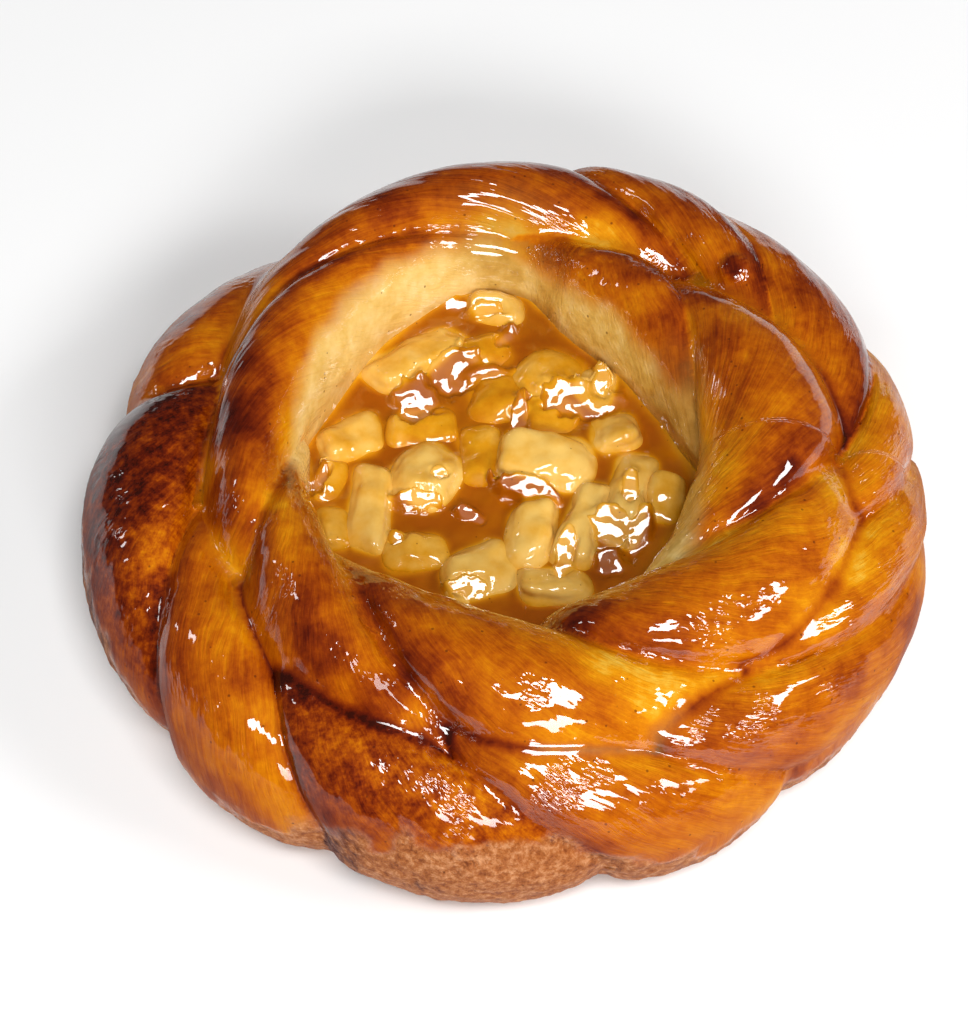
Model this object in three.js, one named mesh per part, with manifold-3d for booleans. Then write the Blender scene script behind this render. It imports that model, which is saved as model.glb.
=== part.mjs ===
// Apple danish: one twisted rope of sweet dough, coiled for two turns round a well,
// with diced apple in amber syrup filling the well.
// Millimetres, +Z up. The danish rests on z = 0 and the middle of its box is at x = y = 0.
// The viewer stands on the -Y side, with +X to the right.
//
// Angles that follow the coil are degrees, anticlockwise from +X seen from above, and they
// run on past 360: the outer turn starts at OUTER_END, and the inner turn stops at INNER_END.
import * as THREE from "three";
import { ParametricGeometry } from "three/addons/geometries/ParametricGeometry.js";
import { RoundedBoxGeometry } from "three/addons/geometries/RoundedBoxGeometry.js";
import { mergeVertices } from "three/addons/utils/BufferGeometryUtils.js";
import Module from "manifold-3d";

const wasm = await Module();
wasm.setup();

// ---- driving dimensions -------------------------------------------------------------

const OUTER_END = 108; // where the rope starts, low at the back left
const INNER_END = 836; // where it stops, tucked under the left side of the inner turn
const COIL_OFFSET = [-0.2, 0.7]; // the coil's own centre, from the middle of the box
const CLEARANCE = 0.3; // gap between the dough, the syrup and each piece of apple

// Each track is a list of [coil angle, value] that the rope passes through smoothly.
const RADIUS = [
  [108, 40.5], [124, 44.5], [142, 46.5], [165, 47.2], [195, 48.0], [225, 47.3], [255, 47.0],
  [285, 47.3], [315, 47.3], [345, 48.6], [385, 49.4], [435, 49.0], [455, 47.5], [475, 43.4],
  [495, 39.3], [515, 36.3], [540, 34.9], [570, 35.0], [600, 36.2], [630, 37.0], [660, 37.7],
  [690, 38.2], [715, 37.8], [740, 36.0], [765, 35.0], [790, 35.9], [806, 40.2], [836, 43.0],
];
const HEIGHT = [
  [108, 10.5], [142, 13.0], [165, 14.0], [345, 14.0], [385, 14.5], [435, 16.0], [475, 18.5],
  [515, 21.0], [600, 21.0], [630, 20.5], [690, 21.0], [715, 22.0], [740, 22.0], [765, 20.5],
  [790, 18.5], [806, 15.5], [836, 12.5],
];
const HALF_WIDTH = [
  [108, 9.0], [142, 11.0], [195, 12.0], [255, 12.5], [285, 12.5], [315, 12.0], [345, 11.5],
  [365, 10.5], [410, 10.5], [435, 11.0], [455, 10.0], [495, 9.8], [515, 8.5], [540, 7.3],
  [570, 8.8], [600, 12.2], [630, 13.2], [690, 13.0], [715, 12.2], [740, 11.0], [765, 9.0],
  [790, 6.6], [806, 4.6], [836, 3.6],
];
const HALF_HEIGHT = [
  [108, 9.0], [142, 13.0], [195, 14.5], [385, 14.5], [435, 13.5], [515, 13.5], [570, 14.5],
  [615, 15.0], [660, 14.5], [715, 14.0], [765, 13.0], [790, 11.5], [806, 9.0], [836, 7.0],
];
// Where the grooves between the rope's two strands cross its crown.
const GROOVES = [
  112, 161, 199, 229, 261, 289, 317, 347, 368, 401, 426, 483, 560, 603, 655, 704, 762, 845, 890,
];
const GROOVE_DEPTH = 0.24; // as a share of the rope's half width
const LOBE_ROUNDNESS = 2.4; // 2 is a circular swell between two grooves, more is fuller
const UNDERSIDE_DROP = 2.5; // how far the rope's underside sags past the resting plane

const FLOOR_RADIUS = 44; // the dough under the filling
const FLOOR_TOP = 8.5; // at the middle of the well
const FLOOR_RISE = 3.5; // how much higher it is where it meets the rope

const SYRUP_LEVEL = 17.0;
const SYRUP_RADIUS = 42; // before the dough is cut away from it
const SYRUP_DISH = 0.8; // how much the syrup climbs towards the wall of the well

// Diced apple: [x, y, top, length, width, height, turn of its length from +X].
const APPLES = [
  [-13.0, 24.7, 18.6, 14.8, 5.4, 7.5, 36],
  [-2.6, 25.9, 17.9, 5.6, 5.2, 7.0, 15],
  [-1.3, 33.9, 18.6, 6.4, 3.6, 6.0, -8],
  [-1.8, 18.2, 17.7, 7.6, 8.0, 7.5, 6],
  [6.6, 22.0, 18.2, 8.0, 8.2, 7.5, -24],
  [13.0, 19.4, 18.6, 4.4, 5.6, 7.0, -14],
  [6.6, 14.0, 17.8, 7.0, 4.8, 7.0, -18],
  [5.6, 6.2, 19.8, 12.4, 8.2, 8.5, -12],
  [15.4, 11.4, 18.6, 5.6, 5.8, 7.5, 10],
  [17.4, -0.4, 18.9, 15.0, 4.8, 8.0, 76],
  [10.9, -4.6, 19.0, 13.6, 4.0, 8.0, 72],
  [3.5, -6.3, 19.1, 5.2, 9.4, 8.0, 4],
  [22.4, -0.2, 18.3, 7.2, 3.6, 7.0, 80],
  [6.6, -14.8, 18.8, 8.6, 4.8, 7.5, 6],
  [-3.6, -12.6, 18.9, 9.4, 7.4, 8.0, 24],
  [-11.1, 3.8, 19.3, 9.4, 8.2, 8.0, 52],
  [-19.1, -2.0, 18.8, 13.2, 4.6, 7.8, 85],
  [-12.6, -9.4, 18.2, 7.8, 5.0, 7.5, 8],
  [-22.0, 10.4, 18.4, 8.2, 5.6, 7.0, 26],
  [-23.9, -5.4, 18.1, 6.2, 3.4, 6.5, 98],
  [-12.0, 12.4, 17.8, 8.6, 5.2, 7.0, 6],
  [-3.7, 7.6, 17.7, 8.6, 4.8, 7.0, 92],
  [-24.6, 2.9, 17.9, 5.6, 3.2, 6.0, 82],
];
const APPLE_ROUNDING = 0.3; // corner radius, as a share of the shortest side
const APPLE_SKEW = 0.16; // how far from square the pieces are cut

// ---- how finely the surfaces are cut into facets ------------------------------------

const ROPE_STEP = 4.8; // length of a facet along the strands
const ROPE_SIDES = 20; // facets round the rope
const FLOOR_RINGS = 3;
const FLOOR_SEGMENTS = 28;
const SYRUP_RINGS = 3;
const SYRUP_SEGMENTS = 28;

// The rope is three stretches, because a single one would run into itself. They overlap
// at two splices, where one has rounded off inside the other.
const FIRST_SPLICE = 450; // coil angles
const SECOND_SPLICE = 777;
const SPLICE_REACH = 9; // how far past a splice each stretch runs, in degrees
const SPLICE_ROUND = 8; // length of the rounded ends inside a splice
const OUTER_ROUND = 12; // and of the rope's own two ends
const INNER_ROUND = 6;
const END_RINGS = [0, 0.04, 0.16, 0.4, 0.7]; // places of the facets along a rounded end
const ABOVE_SIZE = 400; // a block above the resting plane, which cuts the underside flat

// ---- the coil's curves --------------------------------------------------------------

const radians = THREE.MathUtils.degToRad;

// A smooth monotone curve through the [x, y] pairs of a track.
function smoothTrack(points) {
  const last = points.length - 1;
  const width = points.slice(1).map((p, i) => p[0] - points[i][0]);
  const slope = points.slice(1).map((p, i) => (p[1] - points[i][1]) / width[i]);
  const tangent = points.map((_, i) => {
    if (i === 0) return slope[0];
    if (i === last) return slope[last - 1];
    if (slope[i - 1] * slope[i] <= 0) return 0;
    const near = 2 * width[i] + width[i - 1];
    const far = width[i] + 2 * width[i - 1];
    return (near + far) / (near / slope[i - 1] + far / slope[i]);
  });
  return (x) => {
    let i = 0;
    while (i < last - 1 && x >= points[i + 1][0]) i += 1;
    const t = (x - points[i][0]) / width[i];
    const rise = t * t * (3 - 2 * t);
    const leave = t * (1 - t) * (1 - t) * width[i] * tangent[i];
    const arrive = t * t * (t - 1) * width[i] * tangent[i + 1];
    return points[i][1] * (1 - rise) + points[i + 1][1] * rise + leave + arrive;
  };
}

const radiusAt = smoothTrack(RADIUS);
const heightAt = smoothTrack(HEIGHT);
const halfWidthAt = smoothTrack(HALF_WIDTH);
const halfHeightAt = smoothTrack(HALF_HEIGHT);
const twistAt = smoothTrack(GROOVES.map((angle, k) => [angle, k * Math.PI]));

// Share of the full section radius at a place round the strand pair: 1 on the swell of
// a strand, and 1 - GROOVE_DEPTH in the groove, where round is a whole number of half turns.
function swell(round) {
  const turn = round / Math.PI;
  const across = 2 * (turn - Math.floor(turn)) - 1;
  const pillow = (1 - Math.abs(across) ** LOBE_ROUNDNESS) ** (1 / LOBE_ROUNDNESS);
  return 1 - GROOVE_DEPTH * (1 - pillow);
}

// A point on the rope. round is measured from a groove, so that it turns with the strands;
// grow pushes the surface outwards, and shrink scales the section, for a rounded end.
function ropePoint(angle, round, grow, shrink, target) {
  const section = round + Math.PI / 2 - twistAt(angle);
  const out = Math.cos(section);
  const up = Math.sin(section);
  const sag = up < 0 ? UNDERSIDE_DROP : 0;
  const share = swell(round);
  const reach = radiusAt(angle) + (halfWidthAt(angle) * share + grow) * shrink * out;
  const level = heightAt(angle) + ((halfHeightAt(angle) + sag) * share + grow) * shrink * up;
  target.set(
    reach * Math.cos(radians(angle)) + COIL_OFFSET[0],
    reach * Math.sin(radians(angle)) + COIL_OFFSET[1],
    level,
  );
}

// ---- solids -------------------------------------------------------------------------

// A closed solid from a geometry whose seams and poles hold repeated vertices. With
// turnOver, the geometry's faces point inwards and are turned round.
function solidOf(geometry, turnOver = false) {
  const bare = new THREE.BufferGeometry();
  bare.setAttribute("position", geometry.getAttribute("position"));
  bare.setIndex(geometry.index);
  const merged = mergeVertices(bare, 1e-4);
  const corners = merged.index.array;
  const kept = [];
  for (let i = 0; i < corners.length; i += 3) {
    const [a, b, c] = corners.slice(i, i + 3);
    if (a === b || b === c || c === a) continue;
    if (turnOver) kept.push(a, c, b);
    else kept.push(a, b, c);
  }
  return new wasm.Manifold(
    new wasm.Mesh({
      numProp: 3,
      vertProperties: new Float32Array(merged.getAttribute("position").array),
      triVerts: new Uint32Array(kept),
    }),
  );
}

function geometryOf(solid) {
  const mesh = solid.getMesh();
  const positions = new Float32Array(mesh.numVert * 3);
  for (let i = 0; i < mesh.numVert; i += 1) {
    for (let axis = 0; axis < 3; axis += 1) {
      positions[3 * i + axis] = mesh.vertProperties[mesh.numProp * i + axis];
    }
  }
  const geometry = new THREE.BufferGeometry();
  geometry.setAttribute("position", new THREE.BufferAttribute(positions, 3));
  geometry.setIndex(new THREE.BufferAttribute(mesh.triVerts, 1));
  geometry.computeVertexNormals();
  return geometry;
}

// Coil angles from start to end, spaced so that facets are equally long along the strands.
function evenAngles(start, end) {
  const reached = [0];
  for (let angle = start; angle < end; angle += 1) {
    const along = radiusAt(angle) * radians(1);
    const round = (twistAt(angle + 1) - twistAt(angle)) * halfHeightAt(angle);
    reached.push(reached.at(-1) + Math.hypot(along, round));
  }
  const steps = Math.round(reached.at(-1) / ROPE_STEP);
  return Array.from({ length: steps + 1 }, (_, i) => {
    const wanted = (i / steps) * reached.at(-1);
    const after = Math.max(1, reached.findIndex((r) => r >= wanted - 1e-9));
    const share = (wanted - reached[after - 1]) / (reached[after] - reached[after - 1]);
    return start + after - 1 + share;
  });
}

// 0 at the tip of a rounded end, and 1 from a whole rounding length inwards.
function roundEnd(share) {
  return share >= 1 ? 1 : (1 - (1 - share) ** 3) ** (1 / 3);
}

// One stretch of rope, which rounds off over a length of its own at each end. It is
// traced clockwise, so that its facets are split along their shorter diagonal.
function ropeStretch([start, startRound], [end, endRound], grow) {
  const startArc = startRound / (radians(1) * radiusAt(start));
  const endArc = endRound / (radians(1) * radiusAt(end));
  const angles = [
    ...END_RINGS.map((share) => start + share * startArc),
    ...evenAngles(start + startArc, end - endArc),
    ...END_RINGS.map((share) => end - share * endArc).reverse(),
  ];
  const surface = (u, v, target) => {
    const angle = angles[Math.round(u * (angles.length - 1))];
    const shrink = roundEnd((angle - start) / startArc) * roundEnd((end - angle) / endArc);
    ropePoint(angle, (1 - v) * 2 * Math.PI, grow, shrink, target);
  };
  return solidOf(new ParametricGeometry(surface, angles.length - 1, ROPE_SIDES), true);
}

// A solid of revolution round the coil's centre from a profile of [radius, height] pairs.
function turned(profile, segments) {
  const points = profile.map(([r, z]) => new THREE.Vector2(r, z));
  const geometry = new THREE.LatheGeometry(points, segments);
  geometry.rotateX(Math.PI / 2);
  geometry.translate(COIL_OFFSET[0], COIL_OFFSET[1], 0);
  return solidOf(geometry);
}

// Heights from the middle of the well outwards, for a surface that rises to its edge.
function dished(middle, rise, radius, steps) {
  return Array.from({ length: steps + 1 }, (_, i) => {
    const share = i / steps;
    return [share * radius, middle + rise * share ** 2];
  });
}

// The main body of a solid, without the scraps that cutting leaves.
function largestBody(solid) {
  const bodies = solid.decompose();
  return bodies.reduce((best, body) => (body.volume() > best.volume() ? body : best));
}

// The whole dough, its surface pushed out by grow.
function doughSolid(grow) {
  const stretches = [
    ropeStretch([OUTER_END, OUTER_ROUND], [FIRST_SPLICE + SPLICE_REACH, SPLICE_ROUND], grow),
    ropeStretch(
      [FIRST_SPLICE - SPLICE_REACH, SPLICE_ROUND],
      [SECOND_SPLICE + SPLICE_REACH, SPLICE_ROUND],
      grow,
    ),
    ropeStretch([SECOND_SPLICE - SPLICE_REACH, SPLICE_ROUND], [INNER_END, INNER_ROUND], grow),
  ];
  const floorTop = dished(FLOOR_TOP + grow, FLOOR_RISE, FLOOR_RADIUS, FLOOR_RINGS);
  const floor = turned([[0, 0], [FLOOR_RADIUS, 0], ...floorTop.reverse()], FLOOR_SEGMENTS);
  const above = new THREE.BoxGeometry(ABOVE_SIZE, ABOVE_SIZE, ABOVE_SIZE);
  above.translate(0, 0, ABOVE_SIZE / 2);
  const joined = stretches.reduce((whole, stretch) => whole.add(stretch), floor);
  return largestBody(joined.intersect(solidOf(above)));
}

// A repeatable number from -1 to 1 for each pair of whole numbers.
function uneven(piece, trait) {
  const wave = Math.sin(piece * 12.9898 + trait * 78.233) * 43758.5453;
  return 2 * (wave - Math.floor(wave)) - 1;
}

// Cuts a block a little out of square, in its own way for each piece, and puts it in place.
function placeApple(block, [x, y, top, length, width, height, turn], piece) {
  const spots = block.getAttribute("position");
  for (let i = 0; i < spots.count; i += 1) {
    const along = spots.getX(i) / length;
    const across = spots.getY(i) / width;
    const up = spots.getZ(i) / height;
    const narrow = 1 + APPLE_SKEW * uneven(piece, 1) * along;
    const slant = APPLE_SKEW * uneven(piece, 2) * across;
    const tilt = APPLE_SKEW * (uneven(piece, 3) * along + uneven(piece, 4) * across);
    spots.setXYZ(i, length * along + width * slant, width * across * narrow, height * (up + tilt));
  }
  block.rotateZ(radians(turn));
  block.translate(x + COIL_OFFSET[0], y + COIL_OFFSET[1], top - height / 2);
  return solidOf(block);
}

// One diced piece of apple: a rounded block.
function appleSolid(apple, piece) {
  const size = apple.slice(3, 6);
  const block = new RoundedBoxGeometry(...size, 1, APPLE_ROUNDING * Math.min(...size));
  return placeApple(block, apple, piece);
}

// The room that a piece of apple takes out of the syrup.
function appleRoom(apple, piece) {
  const size = apple.slice(3, 6).map((side) => side + 2 * CLEARANCE);
  return placeApple(new THREE.BoxGeometry(...size), apple, piece);
}

// The syrup fills the well up to its level, round each piece of apple.
function syrupSolid() {
  const surface = dished(SYRUP_LEVEL, SYRUP_DISH, SYRUP_RADIUS, SYRUP_RINGS).reverse();
  const blank = turned([[0, FLOOR_TOP], [SYRUP_RADIUS, FLOOR_TOP], ...surface], SYRUP_SEGMENTS);
  let syrup = blank.subtract(doughSolid(CLEARANCE));
  APPLES.forEach((apple, i) => {
    syrup = syrup.subtract(appleRoom(apple, i));
  });
  return largestBody(syrup);
}

// ---- the part -----------------------------------------------------------------------

function meshOf(name, geometry, color, roughness) {
  const material = new THREE.MeshStandardMaterial({ color, roughness, metalness: 0 });
  const mesh = new THREE.Mesh(geometry, material);
  mesh.name = name;
  return mesh;
}

const danish = new THREE.Group();
danish.name = "apple_danish";
danish.add(meshOf("dough", geometryOf(doughSolid(0)), 0xc4761c, 0.3));
danish.add(meshOf("syrup", geometryOf(syrupSolid()), 0xb4690f, 0.1));
APPLES.forEach((apple, i) => {
  const name = `apple_${String(i + 1).padStart(2, "0")}`;
  danish.add(meshOf(name, geometryOf(appleSolid(apple, i)), 0xe2b04a, 0.15));
});

export default danish;
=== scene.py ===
"""Looks of the apple danish: browned and glazed dough, amber syrup and diced apple.

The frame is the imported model's: metres, +Z up, resting on z = 0, seen from the -Y side.
Sizes here are millimetres and degrees, as the coil's own tracks are, until a mesh is made.
Coil angles run anticlockwise from +X and on past 360, from OUTER_END to INNER_END.
"""
import itertools
import math
from types import SimpleNamespace

import bpy
import numpy as np
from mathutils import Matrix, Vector


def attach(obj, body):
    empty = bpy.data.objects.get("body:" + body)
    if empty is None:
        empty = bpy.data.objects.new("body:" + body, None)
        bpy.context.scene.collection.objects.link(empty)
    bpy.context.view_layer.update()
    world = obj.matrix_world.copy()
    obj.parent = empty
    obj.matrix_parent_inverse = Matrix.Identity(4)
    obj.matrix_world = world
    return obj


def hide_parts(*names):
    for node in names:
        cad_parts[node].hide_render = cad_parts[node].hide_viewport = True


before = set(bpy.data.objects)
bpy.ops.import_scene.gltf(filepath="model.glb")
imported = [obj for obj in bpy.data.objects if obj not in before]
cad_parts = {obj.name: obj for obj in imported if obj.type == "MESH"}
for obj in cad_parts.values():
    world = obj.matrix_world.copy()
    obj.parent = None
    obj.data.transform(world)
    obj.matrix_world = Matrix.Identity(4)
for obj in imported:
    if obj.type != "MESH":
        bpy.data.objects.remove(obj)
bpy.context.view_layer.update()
MM = 0.001

# ---- the photograph's view ----

IMAGE_WIDTH, IMAGE_HEIGHT = 968, 1024
AIM = (-0.2, 0.7, 14.0)  # the point that the camera looks at
AIM_PIXEL = (505, 511)
PIXELS_PER_MM = 7.05  # at that point
CAMERA_ELEVATION = 55
CAMERA_DISTANCE = 460
SENSOR = 36
NEAREST_SEEN = 0.01  # metres

# ---- the coil ----

OUTER_END, INNER_END = 108, 836
COIL_OFFSET = np.array([-0.2, 0.7])
RADIUS = [
    (108, 40.5), (124, 44.5), (142, 46.5), (165, 47.2), (195, 48.0), (225, 47.3), (255, 47.0),
    (285, 47.3), (315, 47.3), (345, 48.6), (385, 49.4), (435, 49.0), (455, 47.5), (475, 43.4),
    (495, 39.3), (515, 36.3), (540, 34.9), (570, 35.0), (600, 36.2), (630, 37.0), (660, 37.7),
    (690, 38.2), (715, 37.8), (740, 36.0), (765, 35.0), (790, 35.9), (806, 40.2), (836, 43.0),
]
HEIGHT = [
    (108, 10.5), (142, 13.0), (165, 14.0), (345, 14.0), (385, 14.5), (435, 16.0), (475, 18.5),
    (515, 21.0), (600, 21.0), (630, 20.5), (690, 21.0), (715, 22.0), (740, 22.0), (765, 20.5),
    (790, 18.5), (806, 15.5), (836, 12.5),
]
HALF_WIDTH = [
    (108, 9.0), (142, 11.0), (195, 12.0), (255, 12.5), (285, 12.5), (315, 12.0), (345, 11.5),
    (365, 10.5), (410, 10.5), (435, 11.0), (455, 10.0), (495, 9.8), (515, 8.5), (540, 7.3),
    (570, 8.8), (600, 12.2), (630, 13.2), (690, 13.0), (715, 12.2), (740, 11.0), (765, 9.0),
    (790, 6.6), (806, 4.6), (836, 3.6),
]
HALF_HEIGHT = [
    (108, 9.0), (142, 13.0), (195, 14.5), (385, 14.5), (435, 13.5), (515, 13.5), (570, 14.5),
    (615, 15.0), (660, 14.5), (715, 14.0), (765, 13.0), (790, 11.5), (806, 9.0), (836, 7.0),
]
# The grooves between the rope's two strands: [coil angle on the crown, how far the groove
# has run on by LEAN_ANGLE down the rope's outer side, and how far back by LEAN_ANGLE down its
# inner side, share of the full depth].
GROOVES = [
    [112, 10, 10, 0.8], [162.6, 4.5, 12, 1.0], [200.4, 13.9, 24, 0.9], [229.8, 11.2, 16, 0.8],
    [260.2, 17, 22, 0.9], [288, 16.5, 18, 0.95], [311, 33, 22, 0.75], [346.3, 16.4, 20, 0.75],
    [365.4, 20, 20, 0.7], [401, 22, 20, 0.35], [427, 14.5, 28, 0.9], [485, 45, 44, 1.0],
    [561.8, 7.7, 21, 0.95], [602, 22.5, 27, 1.1], [653.5, 22, 13, 1.1], [703, 16, 27, 1.15],
    [764, 11.5, 23.5, 1.0], [845, 10, 10, 0.8], [890, 10, 10, 0.8],
]
LEAN_ANGLE, LEAN_LIMIT = 60, 1.5  # and past this many times that angle the lean stays as it is
GROOVE_DEPTH = 0.25  # as a share of the rope's half width
LOBE_START, LOBE_END = 3.2, 1.9  # how full a lobe is after one groove and before the next
GROOVE_SOFTNESS = 0.07
UNDERSIDE_DROP = 2.5
END_ROUND = 12  # length over which the rope's two ends round off
FLOOR_RADIUS = 44
FLOOR_TOP, FLOOR_RISE = 8.5, 3.5
SYRUP_LEVEL = 17.0

# Diced apple: [x, y, top, length, width, height, turn of its length from +X].
APPLES = [
    [-13.0, 24.7, 18.6, 14.8, 5.4, 7.5, 36],
    [-2.6, 25.9, 17.9, 5.6, 5.2, 7.0, 15],
    [-1.3, 33.9, 18.6, 6.4, 3.6, 6.0, -8],
    [-1.8, 18.2, 17.7, 7.6, 8.0, 7.5, 6],
    [6.6, 22.0, 18.2, 8.0, 8.2, 7.5, -24],
    [13.0, 19.4, 18.6, 4.4, 5.6, 7.0, -14],
    [6.6, 14.0, 17.8, 7.0, 4.8, 7.0, -18],
    [5.6, 6.2, 19.8, 12.4, 8.2, 8.5, -12],
    [15.4, 11.4, 18.6, 5.6, 5.8, 7.5, 10],
    [17.4, -0.4, 18.9, 15.0, 4.8, 8.0, 76],
    [10.9, -4.6, 19.0, 13.6, 4.0, 8.0, 72],
    [3.5, -6.3, 19.1, 5.2, 9.4, 8.0, 4],
    [22.4, -0.2, 18.3, 7.2, 3.6, 7.0, 80],
    [6.6, -14.8, 18.8, 8.6, 4.8, 7.5, 6],
    [-3.6, -12.6, 18.9, 9.4, 7.4, 8.0, 24],
    [-11.1, 3.8, 19.3, 9.4, 8.2, 8.0, 52],
    [-19.1, -2.0, 18.8, 13.2, 4.6, 7.8, 85],
    [-12.6, -9.4, 18.2, 7.8, 5.0, 7.5, 8],
    [-22.0, 10.4, 18.4, 8.2, 5.6, 7.0, 26],
    [-23.9, -5.4, 18.1, 6.2, 3.4, 6.5, 98],
    [-12.0, 12.4, 17.8, 8.6, 5.2, 7.0, 6],
    [-3.7, 7.6, 17.7, 8.6, 4.8, 7.0, 92],
    [-24.6, 2.9, 17.9, 5.6, 3.2, 6.0, 82],
]
APPLE_ROUNDING = 0.32
APPLE_SKEW = 0.28
APPLE_SWELL = 0.4  # how far cooking has plumped each piece
APPLE_FOOT = 0.6  # how far the syrup that clings to a piece spreads at its foot
FOOT_TONE = 0.2  # how much more of the syrup's colour it shows there
BARE_TONE, SUNK_TONE = 0.08, 0.36  # the syrup's colour on every piece, and more on sunk ones
BARE_TOP, SUNK_TOP = 18.9, 17.6

# ---- fineness ----

DOUGH_VOXEL = 0.7
NEAR_SURFACE = 0.05  # step of the slopes that bring a point to the surface
LEAST_STEEP = 0.05  # square of the least slope that a point follows there
TINY = 1e-9
CONTACT_FILLET = 0.6  # how softly two turns, or dough and floor, run into each other
END_SEAM = (-1.0, 40.0, 25.0)  # where the rope's inner end melts into the turn before it
SEAM_FILLET, SEAM_REACH = 2.0, 7.0


# ---- curves and noise ----


def smooth_track(points):
    """A smooth monotone curve through the (x, y) pairs of a track, for whole arrays."""
    x, y = np.array(points, float).T
    width = np.diff(x)
    slope = np.diff(y) / width
    near = 2 * width[1:] + width[:-1]
    far = width[1:] + 2 * width[:-1]
    rising = slope[:-1] * slope[1:] > 0
    before, after = np.where(rising, slope[:-1], 1), np.where(rising, slope[1:], 1)
    between = np.where(rising, (near + far) / (near / before + far / after), 0)
    tangent = np.concatenate([slope[:1], between, slope[-1:]])

    def at(angle):
        i = np.clip(np.searchsorted(x, angle, side="right") - 1, 0, len(x) - 2)
        t = (angle - x[i]) / width[i]
        rise = t * t * (3 - 2 * t)
        leave = t * (1 - t) ** 2 * width[i] * tangent[i]
        arrive = t * t * (t - 1) * width[i] * tangent[i + 1]
        return y[i] * (1 - rise) + y[i + 1] * rise + leave + arrive

    return at


radius_at = smooth_track(RADIUS)
height_at = smooth_track(HEIGHT)
half_width_at = smooth_track(HALF_WIDTH)
half_height_at = smooth_track(HALF_HEIGHT)


def fade(value, start, end):
    """0 at start and 1 at end, smoothly, and level beyond them."""
    t = np.clip((value - start) / (end - start), 0, 1)
    return t * t * (3 - 2 * t)


def bell(value, width):
    """1 at 0, and less on both sides of it."""
    return np.exp(-(value / width) ** 2)


HASH_FACTORS = 374761393, 668265263, 1442695041
HASH_SEED, HASH_STIR = 1274126177, 2246822519
HASH_LIMIT = 0xFFFFFFFF
SEED_STEP = 31  # between the seeds of the three axes
NOISE_GAIN = 1.6  # brings the noise to about -1 to 1


def lattice(cells, seed):
    """A repeatable value from -1 to 1 for each row of three whole numbers."""
    whole = cells.astype(np.int64) & HASH_LIMIT
    mixed = sum(whole[:, axis] * HASH_FACTORS[axis] for axis in range(3))
    mixed = (mixed + seed * HASH_SEED) & HASH_LIMIT
    mixed = ((mixed ^ (mixed >> 13)) * HASH_SEED) & HASH_LIMIT
    mixed = ((mixed ^ (mixed >> 15)) * HASH_STIR) & HASH_LIMIT
    return (mixed ^ (mixed >> 16)) / (HASH_LIMIT // 2) - 1


def bumps(points, size, seed):
    """Smooth noise from about -1 to 1, with bumps about size apart."""
    place = points / np.asarray(size, float)
    cell = np.floor(place)
    offset = place - cell
    weight = offset ** 3 * (offset * (offset * 6 - 15) + 10)
    total = np.zeros(len(points))
    for corner in itertools.product((0, 1), repeat=3):
        share = np.prod(np.where(corner, weight, 1 - weight), axis=1)
        slopes = [lattice(cell + corner, seed + SEED_STEP * axis) for axis in range(3)]
        total += share * sum(slopes[axis] * (offset[:, axis] - corner[axis]) for axis in range(3))
    return NOISE_GAIN * total


def layered(points, layers):
    """Noise in layers of [height, size, seed]."""
    return sum(height * bumps(points, size, seed) for height, size, seed in layers)


# ---- the rope as a field ----


def strand_place(along, section):
    """How many grooves the rope has passed, with the share of the way to the next."""
    lean = np.clip((section - math.pi / 2) / math.radians(LEAN_ANGLE), -LEAN_LIMIT, LEAN_LIMIT)
    passed = np.full(len(along), 0.0)
    crossings = [
        crown - (outer + inner) / 2 * lean + (outer - inner) / 2 * lean ** 2
        for crown, outer, inner, _ in GROOVES
    ]
    for before, after in itertools.pairwise(crossings):
        passed += np.clip((along - before) / (after - before), 0, 1)
    return passed


def swell(passed):
    """Share of the full section radius: 1 on a lobe, and less in the grooves."""
    across = 2 * (passed - np.floor(passed)) - 1
    fullness = np.where(across < 0, LOBE_START, LOBE_END)
    least = GROOVE_SOFTNESS ** (1 / fullness)
    pillow = (1 + GROOVE_SOFTNESS - np.abs(across) ** fullness) ** (1 / fullness)
    pillow = (pillow - least) / ((1 + GROOVE_SOFTNESS) ** (1 / fullness) - least)
    share = np.interp(passed, range(len(GROOVES)), [groove[3] for groove in GROOVES])
    return 1 - GROOVE_DEPTH * share * (1 - pillow)


def one_turn(points, turn):
    """Distance from the rope's surface on one turn of the coil, and where round it points are."""
    x, y = points[:, 0] - COIL_OFFSET[0], points[:, 1] - COIL_OFFSET[1]
    angle = np.degrees(np.arctan2(y, x)) % 360 + 360 * turn
    along = np.clip(angle, OUTER_END, INNER_END)
    degree = np.radians(radius_at(along))
    outwards = (np.hypot(x, y) - radius_at(along)) / half_width_at(along)
    upwards = points[:, 2] - height_at(along)
    half_height = half_height_at(along) + np.where(upwards < 0, UNDERSIDE_DROP, 0)
    upwards /= half_height
    ratio = np.hypot(outwards, upwards) + TINY
    section = np.arctan2(upwards, outwards)
    section = (section + math.pi / 2) % (2 * math.pi) - math.pi / 2
    passed = strand_place(along, section)
    from_end = np.minimum(angle - OUTER_END, INNER_END - angle) * degree / END_ROUND
    whole = (1 - (1 - np.clip(from_end, 0, 1)) ** 3) ** (1 / 3)
    steep = np.hypot(outwards / half_width_at(along), upwards / half_height) / ratio
    distance = (ratio - swell(passed) * whole) / steep
    beyond = np.maximum(-from_end, 0) * END_ROUND
    return np.hypot(distance, beyond) * np.sign(distance + beyond), along, section, passed


def turns_of(points):
    """one_turn for the three times that the rope can pass over a point."""
    return [one_turn(points, turn) for turn in range(3)]


def near_seam(points):
    """1 where the rope's inner end melts into the turn before it, and less away from there."""
    return bell(np.linalg.norm(points - END_SEAM, axis=1), SEAM_REACH)


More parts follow.
